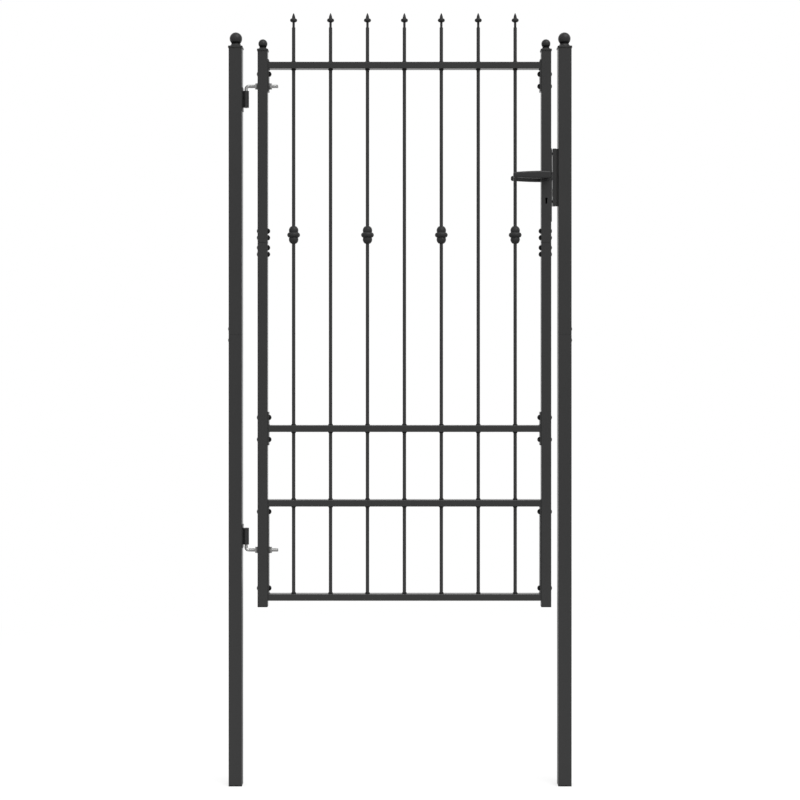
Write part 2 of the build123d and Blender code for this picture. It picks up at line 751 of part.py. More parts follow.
def dead_bolt():
    """Dead bolt, drawn back at rest, with a thin tail notched for the key's bit."""
    nose = forend_face - dead_bolt_recess
    head_rear = nose - dead_bolt_head_length
    half_z = dead_bolt_height / 2
    half_y = dead_bolt_thickness / 2
    head = span_box(head_rear, nose, -half_y, half_y, -half_z, half_z)
    tail_half = dead_bolt_tail_thickness / 2
    tail = span_box(head_rear - dead_bolt_tail_length, head_rear, -tail_half, tail_half, -half_z, 0)
    talon = span_box(latch_stile_x - talon_width / 2, latch_stile_x + talon_width / 2,
                     -dead_bolt_thickness, dead_bolt_thickness, -half_z - talon_depth, talon_depth - half_z)
    return Pos(0, 0, dead_bolt_z) * (head + tail - talon)


# Strike

def strike_screw_levels():
    """Heights of the strike's two screws."""
    return [spindle_z + strike_above - strike_screw_inset, spindle_z - strike_below + strike_screw_inset]


def strike_box():
    """Folded box on a narrower base on the latch post, with windows for the latch and the dead bolt."""
    half = strike_depth / 2
    base_half = half - strike_base_setback
    base_x = post_face - strike_base_width
    z0 = spindle_z - strike_below
    z1 = spindle_z + strike_above
    channel = span_box(strike_face, base_x, -half, half, z0, z1)
    channel += span_box(base_x, post_face, -base_half, base_half, z0, z1)
    for x1, inner_half in ((base_x - strike_sheet, half - strike_sheet),
                           (post_face + strike_sheet, base_half - strike_sheet)):
        channel -= span_box(strike_face + strike_sheet, x1, -inner_half, inner_half,
                            z0 - strike_sheet, z1 + strike_sheet)
    for z, height, thickness in ((spindle_z, latch_height, latch_thickness),
                                 (dead_bolt_z, dead_bolt_height, dead_bolt_thickness)):
        channel -= bolt_window(strike_face, strike_face + strike_sheet, z, height, thickness, 2 * moving_gap)
    for z in strike_screw_levels():
        channel -= rod_x(strike_screw_diameter / 2 + slide_clearance, forend_face, post_face, z)
    return channel


def strike_screw(z):
    """Screw through the strike into the latch post."""
    head = domed_disc(strike_screw_head_diameter, strike_screw_head_edge, strike_screw_head_height)
    shank = rod_x(strike_screw_diameter / 2, strike_face, strike_face + strike_screw_length, z)
    return facing_x(head, strike_face, z, HINGE_SIDE) + shank


# Assembly

def post_nodes():
    """Everything that stands still: posts, hinge brackets and strike."""
    nodes = {}
    for name, side in (("hinge_post", HINGE_SIDE), ("latch_post", LATCH_SIDE)):
        nodes[name + "_lower"] = post_tube(side, upper=False)
        nodes[name + "_upper"] = post_tube(side, upper=True)
    sides = (HINGE_SIDE, LATCH_SIDE)
    nodes["post_sleeves"] = group(post_sleeve(side) for side in sides)
    nodes["post_splice_screws"] = group(
        post_splice_screw(side, z) for side in sides for z in post_screw_levels())
    nodes["post_foot_plugs"] = group(
        foot_plug(side * post_x, post_size, post_wall, 0) for side in sides)
    nodes["post_caps"] = group(
        ball_cap(side * post_x, post_size, post_wall, post_top, post_cap_rim, post_cap_flare,
                 post_cap_neck_diameter, post_ball_radius) for side in sides)
    upper_barrel = upper_barrel_top - barrel_length / 2
    lower_barrel = lower_barrel_bottom + barrel_length / 2
    nodes["upper_hinge_bracket"] = hinge_bracket(upper_barrel, upper_barrel - barrel_off_plate)
    nodes["lower_hinge_bracket"] = hinge_bracket(lower_barrel, lower_barrel + barrel_off_plate)
    nodes["strike_box"] = strike_box()
    nodes["strike_screws"] = group(strike_screw(z) for z in strike_screw_levels())
    return nodes


def frame_nodes():
    """The leaf's stiles, rails, plates, bolts and hinge hooks."""
    nodes = {}
    sides = (HINGE_SIDE, LATCH_SIDE)
    for name, side in (("hinge_stile", HINGE_SIDE), ("latch_stile", LATCH_SIDE)):
        nodes[name + "_lower"] = stile_tube(side, upper=False)
        nodes[name + "_upper"] = stile_tube(side, upper=True)
    nodes["stile_sleeves"] = group(stile_sleeve(side) for side in sides)
    nodes["stile_foot_plugs"] = group(
        foot_plug(stile_x[side], stile_size, stile_wall, leaf_bottom) for side in sides)
    nodes["stile_caps"] = group(
        ball_cap(stile_x[side], stile_size, stile_wall, stile_top, stile_cap_rim, stile_cap_flare,
                 stile_cap_neck_diameter, stile_ball_radius) for side in sides)
    for name, z in (("top_rail", top_rail_z), ("middle_rail", middle_rail_z),
                    ("lower_rail", lower_rail_z), ("bottom_rail", bottom_rail_z)):
        nodes[name] = rail(z, open_below=name != "bottom_rail")
    top_plate_z = top_rail_z + rail_height / 2 + top_plate_rise
    plate_spans = {
        "top_plates": (top_plate_z - top_plate_length, top_plate_z),
        "middle_plates": (middle_rail_z - middle_plate_length / 2, middle_rail_z + middle_plate_length / 2),
        "lower_plates": (bottom_rail_z - rail_height / 2, lower_rail_z + rail_height / 2),
    }
    for name, (z0, z1) in plate_spans.items():
        nodes[name] = group(fixing_plate(side, z0, z1) for side in sides)
    bolts = [(side, z) for side in sides for z in plate_bolt_levels(side) + splice_bolt_levels()]
    nodes["stile_bolts"] = group(stile_bolt(side, z) for side, z in bolts)
    nodes["stile_nuts"] = group(stile_nut(side, z) for side, z in bolts)
    nodes["upper_hinge_hook"] = hinge_hook(upper_hook_z, pin_side=-1)
    nodes["lower_hinge_hook"] = hinge_hook(lower_hook_z, pin_side=1)
    nodes["hinge_nuts"] = group(hook_nuts())
    return nodes


def picket_nodes():
    """Pickets with their spears, and a collar on every second one."""
    nodes = {}
    for number, x in enumerate(picket_xs, start=1):
        nodes[f"picket_{number}"] = picket(x)
        nodes[f"spear_{number}"] = spear(x)
    for number, x in enumerate(picket_xs[::collar_step], start=1):
        nodes[f"collar_{number}"] = collar(x)
    return nodes


def lock_nodes():
    """Levers, spindle and the lock inside the latch stile."""
    return {
        "front_lever": lever(-1),
        "rear_lever": lever(1),
        "lever_spindle": spindle(),
        "lever_roses": group(rose(side) for side in (-1, 1)),
        "lock_case": lock_case(),
        "lock_forend": forend(),
        "forend_screws": group(forend_screw(z) for z in forend_screw_levels()),
        "lock_follower": follower(),
        "latch_bolt": latch(),
        "latch_spring": latch_spring(),
        "dead_bolt": dead_bolt(),
    }


def main():
    os.makedirs("parts", exist_ok=True)
    nodes = post_nodes() | frame_nodes() | picket_nodes() | lock_nodes()
    for name, shape in nodes.items():
        shape.label = name
        export_step(shape, f"parts/{name}.step")


main()
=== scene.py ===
"""Finishes, weld beads, grub screws and a plain studio for the garden gate."""

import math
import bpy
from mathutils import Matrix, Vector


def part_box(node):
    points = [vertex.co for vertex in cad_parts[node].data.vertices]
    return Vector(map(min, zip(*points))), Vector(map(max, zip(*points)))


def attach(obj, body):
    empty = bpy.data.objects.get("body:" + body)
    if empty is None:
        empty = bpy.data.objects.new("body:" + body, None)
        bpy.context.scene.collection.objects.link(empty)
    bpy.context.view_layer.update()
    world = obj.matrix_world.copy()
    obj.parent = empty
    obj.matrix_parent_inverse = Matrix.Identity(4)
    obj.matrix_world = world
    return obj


bl_info = {
    "name": "Garden gate finishes",
    "version": (1, 0, 0),
    "blender": (4, 5, 0),
    "location": "View3D > Sidebar > Gate",
    "description": "Dresses the garden gate with its finishes, weld beads, grub screws and a studio",
    "category": "Object",
}

import bmesh
import bpy
from bpy.props import FloatProperty, FloatVectorProperty, PointerProperty
from mathutils import Vector

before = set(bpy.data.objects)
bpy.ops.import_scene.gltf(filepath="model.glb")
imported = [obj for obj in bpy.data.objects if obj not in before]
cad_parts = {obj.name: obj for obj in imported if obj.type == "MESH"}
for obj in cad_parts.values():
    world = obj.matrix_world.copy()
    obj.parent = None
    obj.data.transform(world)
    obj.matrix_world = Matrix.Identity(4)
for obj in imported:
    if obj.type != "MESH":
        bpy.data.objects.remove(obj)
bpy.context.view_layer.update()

MM = 0.001

# Weld beads: how far their middle stands off a picket, the step of their rings and the rings' sides
BEAD_SEAT = 0.2 * MM
BEAD_STEP = 0.8 * MM
BEAD_SIDES = 7
# The ripple along a bead and a faster, smaller one on it, as shares of the radius, and an open bead's ends
BEAD_SWELL = 0.14
BEAD_UNEVEN = 0.07
BEAD_UNEVEN_RATE = 4.93
BEAD_END = 0.35

# Where beads lie: half a rail's end, the hinge plate's thickness, half a barrel, a barrel's shift from the
# plate's middle, the barrel beads' distance from the middle plane and the plate beads' from its ends
RAIL_BEAD_HALF = 12.5 * MM
BRACKET_PLATE = 2.5 * MM
BARREL_HALF = 25.0 * MM
BARREL_SHIFT = 0.9 * MM
BARREL_BEAD_SIDE = 5.0 * MM
PLATE_BEAD_INSET = 6.0 * MM

# Grub screws: length, points of their rings, how far they stand proud, and for the levers the neck's radius
# and the screw's distance from the gate's middle plane
GRUB_LENGTH = 3.0 * MM
GRUB_SIDES = 24
COLLAR_GRUB_PROUD = 0.2 * MM
LEVER_GRUB_PROUD = 0.1 * MM
LEVER_NECK = 9.0 * MM
LEVER_GRUB_PLACE = 31.0 * MM

# Radii of screw heads and of the hinge hooks, and the hooks' bend, which has no thread
SPLICE_HEAD = 7.0 * MM
FOREND_HEAD = 4.0 * MM
STRIKE_HEAD = 4.5 * MM
HOOK_RADIUS = 5.0 * MM
HOOK_BEND = 15.0 * MM

# Recesses of screws: half a cross's length and half its width, and half a hexagon socket's width
CROSS_ARM = 2.3 * MM
CROSS_SLOT = 0.45 * MM
SOCKET_HALF = 2.0 * MM

# Painted shade: its reach round the ball caps' necks, the necks' depth under the tops, its reach on the
# hinge nuts
CAP_NECK_SHADE = 5.5 * MM
CAP_NECKS = {"post_caps": 33.0 * MM, "stile_caps": 23.6 * MM}
NUT_SHADE_REACH = 10.0 * MM
# How much rougher the caps' neck ring is than plastic, how fast the nuts' painted shade ends, and the rays
# that look for grooves
NECK_RING_ROUGHNESS = 0.5
NUT_SHADE_POWER = 3
GROOVE_RAYS = 8
# Share that each finer layer of a noise keeps
NOISE_ROUGHNESS = 0.55

# Studio: the key light's tilt from straight down, its turn to the right and its spread
KEY_TILT = math.radians(42)
KEY_TURN = math.radians(32)
KEY_SPREAD = math.radians(50)
# Where the floor fades to white, as shares of its half width, and how white it is in gloss
FLOOR_FADE = (0.2, 0.8)
FLOOR_GLOSS = 0.3
# Parts of a ray's direction, upward and backward, over which the sky and the white backdrop come in
HORIZON = (-0.1, 0.1)
BACKDROP = (0.25, 0.75)

# A direction with a larger part than this along an axis needs another axis to turn about
ALONG = 0.9

RAILS = ("top_rail", "middle_rail", "lower_rail", "bottom_rail")
PICKETS = [f"picket_{number}" for number in range(1, 8)]
SPEARS = [f"spear_{number}" for number in range(1, 8)]
COLLARS = [f"collar_{number}" for number in range(1, 5)]
COATED_TUBES = [
    "hinge_post_lower", "hinge_post_upper", "latch_post_lower", "latch_post_upper",
    "hinge_stile_lower", "hinge_stile_upper", "latch_stile_lower", "latch_stile_upper",
    *RAILS, *PICKETS,
]
COATED_FITTINGS = [
    "top_plates", "middle_plates", "lower_plates", "upper_hinge_bracket", "lower_hinge_bracket",
    "strike_box", "stile_bolts",
]
HOOKS = ("upper_hinge_hook", "lower_hinge_hook")


def middle(node):
    """Middle of a node's box."""
    low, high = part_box(node)
    return (Vector(low) + Vector(high)) / 2


def screw_levels(node, head):
    """Levels of a node's lowest and highest screws, whose heads have the given radius."""
    low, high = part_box(node)
    return low[2] + head, high[2] - head


# Shader tools

class Wire:
    """A socket in a finish; arithmetic on it adds Math nodes."""

    def __init__(self, finish, socket):
        self.finish = finish
        self.socket = socket

    def math(self, operation, *values):
        """Add a Math node on these values."""
        sockets = dict(enumerate(values))
        return self.finish.add("ShaderNodeMath", {"operation": operation}, sockets)

    def __add__(self, other):
        return self.math("ADD", self, other)

    def __radd__(self, other):
        return self.math("ADD", other, self)

    def __sub__(self, other):
        return self.math("SUBTRACT", self, other)

    def __rsub__(self, other):
        return self.math("SUBTRACT", other, self)

    def __mul__(self, other):
        return self.math("MULTIPLY", self, other)

    def __rmul__(self, other):
        return self.math("MULTIPLY", other, self)

    def __truediv__(self, other):
        return self.math("DIVIDE", self, other)

    def __rtruediv__(self, other):
        return self.math("DIVIDE", other, self)

    def __pow__(self, other):
        return self.math("POWER", self, other)

    def __rpow__(self, other):
        return self.math("POWER", other, self)

    def __lt__(self, other):
        return self.math("LESS_THAN", self, other)

    def __gt__(self, other):
        return self.math("GREATER_THAN", self, other)

    def __abs__(self):
        return self.math("ABSOLUTE", self)

    def part(self):
        return self.math("FRACT", self)

    def turn(self, other):
        return self.math("ARCTAN2", self, other)

    def larger(self, other):
        return self.math("MAXIMUM", self, other)

    def smaller(self, other):
        return self.math("MINIMUM", self, other)

    def swing(self, amount):
        """How far a noise is from its middle, over a range as wide as amount."""
        return (self - 0.5) * amount


class Finish:
    """A node tree under construction, of a material or of the world."""

    def __init__(self, tree):
        self.tree = tree
        self.tree.nodes.clear()

    def add(self, kind, settings=None, sockets=None, output=0):
        """Add a node: its settings first, then the values or links of its sockets."""
        node = self.tree.nodes.new(kind)
        for name, value in (settings or {}).items():
            setattr(node, name, value)
        for name, value in (sockets or {}).items():
            if isinstance(value, Wire):
                self.tree.links.new(value.socket, node.inputs[name])
            else:
                node.inputs[name].default_value = value
        return Wire(self, node.outputs[output]) if node.outputs else None

    def place(self):
        """Coordinates in metres that stay with the piece."""
        return self.add("ShaderNodeTexCoord", output="Object")

    def axes(self):
        """The place's X, Y and Z as values."""
        place = self.place()
        return [self.add("ShaderNodeSeparateXYZ", None, {0: place}, axis) for axis in "XYZ"]

    def noise(self, scale, detail=2.0, stretch=(1.0, 1.0, 1.0)):
        """Noise around 0.5, with features about 1/scale metres long."""
        place = self.add("ShaderNodeVectorMath", {"operation": "MULTIPLY"},
                         {0: self.place(), 1: stretch})
        return self.add("ShaderNodeTexNoise", None,
                        {"Vector": place, "Scale": scale, "Detail": detail, "Roughness": NOISE_ROUGHNESS})

    def tint(self, colour, brightness):
        """A colour made lighter or darker by a value around 1."""
        grey = self.add("ShaderNodeCombineXYZ", None, {0: brightness, 1: brightness, 2: brightness})
        return self.add("ShaderNodeVectorMath", {"operation": "MULTIPLY"}, {0: tuple(colour), 1: grey})

    def openness(self, reach):
        """1 on open faces, less in grooves narrower than about reach metres: a mask for painted shade."""
        return self.add("ShaderNodeAmbientOcclusion", {"samples": GROOVE_RAYS}, {"Distance": reach}, "AO")

    def bump(self, height, depth, strength):
        """Bump normal of a height from 0 to 1 that is depth metres tall."""
        return self.add("ShaderNodeBump", None, {"Height": height, "Distance": depth, "Strength": strength})

    def surface(self, **sockets):
        """Close the material with its shader."""
        named = {name.replace("_", " ").title(): value for name, value in sockets.items()}
        if "Specular" in named:
            named["Specular IOR Level"] = named.pop("Specular")
        shader = self.add("ShaderNodeBsdfPrincipled", None, named)
        self.add("ShaderNodeOutputMaterial", None, {"Surface": shader})


def new_finish(name):
    """An empty material and its finish."""
    material = bpy.data.materials.new(name)
    material.use_nodes = True
    return material, Finish(material.node_tree)


def dress(material, nodes):
    """Give a material to nodes of the frame."""
    for name in nodes:
        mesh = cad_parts[name].data
        mesh.materials.clear()
        mesh.materials.append(material)


# Finishes

def powder_coat(name, colour, roughness, peel, scale=420.0):
    """Baked powder coat: an orange-peel skin as deep as peel, soft tone drift and a fine fleck."""
    material, finish = new_finish(name)
    drift = finish.noise(scale=5.0, detail=3.0)
    fleck = finish.noise(scale=2600.0, detail=1.0)
    skin = finish.noise(scale=scale)
    shade = 1.0 + drift.swing(0.12) + fleck.swing(0.05)
    patchy = roughness + drift.swing(0.10) + skin.swing(0.06)
    finish.surface(base_color=finish.tint(colour, shade), roughness=patchy,
                   normal=finish.bump(skin, depth=peel, strength=0.10))
    return material


def painted_casting(name, colour, roughness):
    """Painted casting: sand-rough skin under the paint, darker in its dips."""
    material, finish = new_finish(name)
    sand = finish.noise(scale=620.0, detail=4.0)
    lumps = finish.noise(scale=140.0)
    shade = 1.0 + sand.swing(0.22) + lumps.swing(0.12)
    finish.surface(base_color=finish.tint(colour, shade), roughness=roughness + sand.swing(0.18),
                   specular=0.16, normal=finish.bump(sand + lumps, depth=0.10 * MM, strength=0.4))
    return material


def moulded_plastic(name, colour, roughness, grain, neck=None):
    """Moulded plastic with a fine spark-eroded grain, and painted shade, a little rougher, round a neck
    whose level is given.
    """
    material, finish = new_finish(name)
    texture = finish.noise(scale=1500.0)
    drift = finish.noise(scale=60.0)
    shade = 1.0 + texture.swing(0.14) + drift.swing(0.10)
    patchy = roughness + drift.swing(0.12)
    if neck:
        # Painted shade: the cap darkens to black in a ring round its neck
        height = finish.axes()[2]
        unshaded = (abs(height - neck) / CAP_NECK_SHADE).smaller(1.0)
        shade = shade * unshaded ** 2
        patchy = patchy + (1 - unshaded) * NECK_RING_ROUGHNESS
    finish.surface(base_color=finish.tint(colour, shade), roughness=patchy,
                   specular=0.20, normal=finish.bump(texture, depth=grain, strength=0.3))
    return material


def zinc_plating(name, colour, thread=None, shade_reach=None):
    """Zinc plate: pale crystals, dull stains, and a rolled thread along X with painted shade in its
    grooves, or painted shade near other parts where given.
    """
    material, finish = new_finish(name)
    cells = finish.add("ShaderNodeTexVoronoi", None, {"Vector": finish.place(), "Scale": 900.0}, "Color")
    crystal = finish.add("ShaderNodeSeparateXYZ", None, {0: cells}, "X")
    stain = finish.noise(scale=220.0, detail=4.0)
    height = crystal * 0.12
    shade = 0.94 + crystal * 0.16 - stain * 0.22
    if thread:
        x, y, z = finish.axes()
        turns = y.turn(z - thread["level"]) / (2 * math.pi)
        ridge = abs((x / thread["pitch"] + turns).part() - 0.5) * 2
        cut = (x > thread["start"]) * (x < thread["end"])
        height = height + ridge * cut
        # Painted shade: the thread's grooves are darkened
        shade = shade - (1 - ridge) * cut * 0.45
    if shade_reach:
        # Painted shade: darker where other parts stand near
        shade = shade * finish.openness(shade_reach) ** NUT_SHADE_POWER
    finish.surface(base_color=finish.tint(colour, shade), metallic=1.0, roughness=0.30 + stain * 0.28,
                   normal=finish.bump(height, depth=0.5 * MM, strength=0.6))
    return material


def rolled_steel(name, colour, roughness, lay):
    """Bare rolled or ground steel with fine lines along its lay."""
    material, finish = new_finish(name)
    lines = finish.noise(scale=300.0, detail=3.0, stretch=lay)
    stain = finish.noise(scale=90.0, detail=3.0)
    shade = 0.92 + lines.swing(0.30) - stain.swing(0.20)
    finish.surface(base_color=finish.tint(colour, shade), metallic=1.0,
                   roughness=roughness + lines.swing(0.2),
                   normal=finish.bump(lines, depth=0.04 * MM, strength=0.4))
    return material


def cross_recess(across, along):
    """Cross recess of screws: 1 inside the cross, from the two distances to a screw's axis."""
    upright = (abs(across) < CROSS_SLOT) * (abs(along) < CROSS_ARM)
    level = (abs(along) < CROSS_SLOT) * (abs(across) < CROSS_ARM)
    return upright.larger(level)


def nearest_level(height, levels):
    """Distance up or down to the nearer of two screws."""
    return abs(height - levels[0]).smaller(abs(height - levels[1]))


def screw_zinc(name, colour, levels):
    """Zinc screws facing along X, with a cross recess at each level, darkened as painted shade."""
    material, finish = new_finish(name)
    across, height = finish.axes()[1:]
    recess = cross_recess(across, nearest_level(height, levels))
    stain = finish.noise(scale=260.0, detail=3.0)
    # Painted shade: the cross recess is darkened
    shade = (1.0 - stain * 0.25) * (1 - recess * 0.85)
    finish.surface(base_color=finish.tint(colour, shade), metallic=1.0, roughness=0.28 + stain * 0.3,
                   normal=finish.bump(1 - recess, depth=0.5 * MM, strength=0.7))
    return material


def socket_screw_coat(name, colour, levels):
    """Coated domed screws facing along X, with a hexagon socket at each level, darkened as painted shade.
    """
    material, finish = new_finish(name)
    side, height = finish.axes()[1:]
    along = nearest_level(height, levels)
    corner = math.pi / 6
    slanted = abs(side) * math.cos(corner) + along * math.sin(corner)
    socket = along.larger(slanted) < SOCKET_HALF
    skin = finish.noise(scale=500.0)
    # Painted shade: the hexagon socket is darkened
    shade = (1.0 + skin.swing(0.12)) * (1 - socket * 0.7)
    relief = (1 - socket) + skin * 0.05
    finish.surface(base_color=finish.tint(colour, shade), roughness=0.40 + skin.swing(0.1),
                   specular=0.28, normal=finish.bump(relief, depth=0.8 * MM, strength=0.7))
    return material


# Mesh tools

def join_rings(mesh, rings):
    """Faces between each ring and the next."""
    for first, second in zip(rings, rings[1:]):
        for step in range(len(first)):
            following = (step + 1) % len(first)
            mesh.faces.new((first[step], first[following], second[following], second[step]))


def close_ends(mesh, rings):
    """Faces over the first and the last ring."""
    mesh.faces.new(reversed(rings[0]))
    mesh.faces.new(rings[-1])


def weld_bead(mesh, path, closed, radius, ripple, tallness=1.0):
    """Sweep a rippled bead along a path of points, tallness times as tall as it is wide."""
    rings = []
    count = len(path)
    travelled = 0.0
    for index, point in enumerate(path):
        ahead = path[(index + 1) % count] if closed or index + 1 < count else point
        behind = path[index - 1] if closed or index else point
        forward = (ahead - behind).normalized()
        if index:
            travelled += (point - path[index - 1]).length
        helper = Vector((0, 0, 1)) if abs(forward.z) < ALONG else Vector((1, 0, 0))
        side = forward.cross(helper).normalized()
        up = side.cross(forward)
        turn = 2 * math.pi * travelled / ripple
        swell = 1.0 + BEAD_SWELL * math.sin(turn) + BEAD_UNEVEN * math.sin(BEAD_UNEVEN_RATE * turn)
        if not closed and index in (0, count - 1):
            swell *= BEAD_END
        ring = []
        for step in range(BEAD_SIDES):
            angle = 2 * math.pi * step / BEAD_SIDES
            offset = (side * math.cos(angle) + up * math.sin(angle) * tallness) * radius * swell
            ring.append(mesh.verts.new(point + offset))
        rings.append(ring)
    if closed:
        join_rings(mesh, rings + rings[:1])
    else:
        join_rings(mesh, rings)
        close_ends(mesh, rings)


def straight_path(start, end, spacing):
    """Points from start to end."""
    start = Vector(start)
    end = Vector(end)
    count = max(3, round((end - start).length / spacing))
    return [start.lerp(end, index / count) for index in range(count + 1)]


def ring_path(centre, radius, spacing):
    """Points of a level ring."""
    count = round(2 * math.pi * radius / spacing)
    angles = [2 * math.pi * index / count for index in range(count)]
    x, y, z = centre
    return [Vector((x + radius * math.cos(angle), y + radius * math.sin(angle), z)) for angle in angles]


def socket_screw(mesh, centre, axis, radius, length):
    """Grub screw whose hexagon socket faces along axis, with its face at centre."""
    axis = Vector(axis)
    helper = Vector((1, 0, 0)) if abs(axis.x) < ALONG else Vector((0, 0, 1))
    side = axis.cross(helper).normalized()
    up = side.cross(axis)
    # Each row: share of the radius, place along the axis, whether it is a hexagon
    rows = [
        (1.0, -length, False), (1.0, -0.12 * length, False), (0.9, 0.0, False),
        (0.56, 0.0, True), (0.52, -0.45 * length, True),
    ]
    rings = []
    for share, depth, hexagon in rows:
        ring = []
        for step in range(GRUB_SIDES):
            angle = 2 * math.pi * step / GRUB_SIDES
            reach = radius * share
            if hexagon:
                reach /= math.cos((angle % (math.pi / 3)) - math.pi / 6) / math.cos(math.pi / 6)
            outward = side * math.cos(angle) + up * math.sin(angle)
            ring.append(mesh.verts.new(Vector(centre) + axis * depth + outward * reach))
        rings.append(ring)
    join_rings(mesh, rings)
    close_ends(mesh, rings)


def weld_finish():
    """The welds' finish, made with the frame's coat; its darker colour is painted shade at the joints."""
    return bpy.data.materials["weld_coat"]


def finish_piece(name, mesh, material, body, smooth=True):
    """Turn a finished mesh into a piece that rides on a body."""
    bmesh.ops.recalc_face_normals(mesh, faces=mesh.faces)
    data = bpy.data.meshes.new(name)
    mesh.to_mesh(data)
    mesh.free()
    data.materials.append(material)
    for polygon in data.polygons:
        polygon.use_smooth = smooth
    piece = bpy.data.objects.new(name, data)
    bpy.context.scene.collection.objects.link(piece)
    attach(piece, body)
    return piece


# Settings

class GateFinishSettings(bpy.types.PropertyGroup):
    """Colours and surface of the gate's finishes."""

    coat_colour: FloatVectorProperty(
        name="Coat", description="Powder coat of the tubes", subtype="COLOR",
        default=(0.0322, 0.0322, 0.0322), min=0.0, max=1.0)
    fitting_colour: FloatVectorProperty(
        name="Fittings", description="Powder coat of plates, brackets, strike and bolts", subtype="COLOR",
        default=(0.0275, 0.0275, 0.0275), min=0.0, max=1.0)
    casting_colour: FloatVectorProperty(
        name="Castings", description="Paint of spears and collars", subtype="COLOR",
        default=(0.037, 0.037, 0.0375), min=0.0, max=1.0)
    cap_colour: FloatVectorProperty(
        name="Ball caps", description="Plastic of the ball caps", subtype="COLOR",
        default=(0.039, 0.039, 0.039), min=0.0, max=1.0)
    plug_colour: FloatVectorProperty(
        name="Plugs", description="Black of plugs, domed nuts and grub screws", subtype="COLOR",
        default=(0.008, 0.008, 0.0085), min=0.0, max=1.0)
    lever_colour: FloatVectorProperty(
        name="Levers", description="Coat of the levers and roses", subtype="COLOR",
        default=(0.025, 0.025, 0.0255), min=0.0, max=1.0)
    forend_colour: FloatVectorProperty(
        name="Forend", description="Coat of the lock's cover strip", subtype="COLOR",
        default=(0.012, 0.012, 0.0125), min=0.0, max=1.0)
    zinc_colour: FloatVectorProperty(
        name="Zinc", description="Zinc plating of hooks, hinge nuts and forend screws", subtype="COLOR",
        default=(0.81, 0.81, 0.80), min=0.0, max=1.0)
    screw_colour: FloatVectorProperty(
        name="Strike screws", description="Black zinc plating of the strike's screws", subtype="COLOR",
        default=(0.03, 0.03, 0.031), min=0.0, max=1.0)
    steel_colour: FloatVectorProperty(
        name="Steel", description="Bare steel of the lock's bolts and inner pieces", subtype="COLOR",
        default=(0.42, 0.42, 0.42), min=0.0, max=1.0)
    # Darker than the coat: painted shade where pickets, rails and brackets meet, laid on real weld beads
    weld_shade_colour: FloatVectorProperty(
        name="Welds", description="Thin burnt coat on the weld beads", subtype="COLOR",
        default=(0.014, 0.014, 0.0143), min=0.0, max=1.0)
    case_colour: FloatVectorProperty(
        name="Lock case", description="Oiled black of the lock case", subtype="COLOR",
        default=(0.006, 0.006, 0.0065), min=0.0, max=1.0)
    sleeve_colour: FloatVectorProperty(
        name="Sleeves", description="Dark mill scale on the steel sleeves", subtype="COLOR",
        default=(0.03, 0.03, 0.032), min=0.0, max=1.0)
    coat_roughness: FloatProperty(
        name="Coat roughness", description="Roughness of the powder coat", subtype="FACTOR",
        default=0.30, min=0.1, max=1.0)
    peel_depth: FloatProperty(
        name="Orange peel", description="Depth of the powder coat's orange peel", unit="LENGTH",
        default=0.03 * MM, min=0.0, max=1.0 * MM, precision=6)
    thread_pitch: FloatProperty(
        name="Thread pitch", description="Pitch of the thread on the hinge hooks", unit="LENGTH",
        default=1.5 * MM, min=0.5 * MM, max=3.0 * MM, precision=5)


class GateWeldSettings(bpy.types.PropertyGroup):
    """Sizes of weld beads and grub screws."""

    picket_bead: FloatProperty(
        name="Picket bead", description="Radius of the beads round the pickets", unit="LENGTH",
        default=1.8 * MM, min=0.2 * MM, max=3.0 * MM, precision=5)
    picket_tallness: FloatProperty(
        name="Picket bead tallness", description="Height of the pickets' beads over their width",
        default=2.0, min=1.0, max=3.0)
    rail_bead: FloatProperty(
        name="Rail bead", description="Radius of the beads at the rails' ends", unit="LENGTH",
        default=1.5 * MM, min=0.2 * MM, max=3.0 * MM, precision=5)
    bracket_bead: FloatProperty(
        name="Bracket bead", description="Radius of the beads on the hinge brackets", unit="LENGTH",
        default=1.6 * MM, min=0.2 * MM, max=3.0 * MM, precision=5)
    ripple: FloatProperty(
        name="Ripple", description="Length of one ripple of a bead", unit="LENGTH",
        default=2.6 * MM, min=0.5 * MM, max=8.0 * MM, precision=5)
    grub_radius: FloatProperty(
        name="Grub screw", description="Radius of the grub screws in collars and levers", unit="LENGTH",
        default=2.5 * MM, min=1.0 * MM, max=4.0 * MM, precision=5)


class GateStageSettings(bpy.types.PropertyGroup):
    """Floor, light and camera."""

    floor_colour: FloatVectorProperty(
        name="Floor", description="Colour of the floor", subtype="COLOR",
        default=(0.95, 0.95, 0.95), min=0.0, max=1.0)
    floor_bounce: FloatProperty(
        name="Floor bounce", description="Share of the light that comes back from the floor",
        subtype="FACTOR", default=0.28, min=0.0, max=1.0)
    shadow_share: FloatProperty(
        name="Floor shadow", description="Strength of the gate's shadow on the floor", subtype="FACTOR",
        default=0.3, min=0.0, max=1.0)
    floor_size: FloatProperty(
        name="Floor size", description="Width of the floor", unit="LENGTH", default=8.0, min=5.0)
    ambient: FloatProperty(
        name="Ambient", description="Strength of the soft light from all round", default=0.95, min=0.0)
    room: FloatProperty(
        name="Room", description="What glossy surfaces mirror, away from the backdrop",
        default=0.35, min=0.0)
    key_strength: FloatProperty(
        name="Key light", description="Strength of the soft light from above", default=1.45, min=0.0)
    camera_distance: FloatProperty(
        name="Camera distance", description="Camera in front of the gate's middle plane", unit="LENGTH",
        default=4.520, min=0.5)
    camera_height: FloatProperty(
        name="Camera height", description="Camera above the floor", unit="LENGTH", default=1.2890, min=0.0)
    lens: FloatProperty(
        name="Lens", description="Focal length in millimetres", unit="CAMERA", default=67.47, min=10.0)
    frame_rise: FloatProperty(
        name="Frame rise", description="Upward shift of the picture, in picture widths", default=-0.05375)
    frame_side: FloatProperty(
        name="Frame side", description="Sideways shift of the picture, in picture widths", default=-0.00014)


# Operators

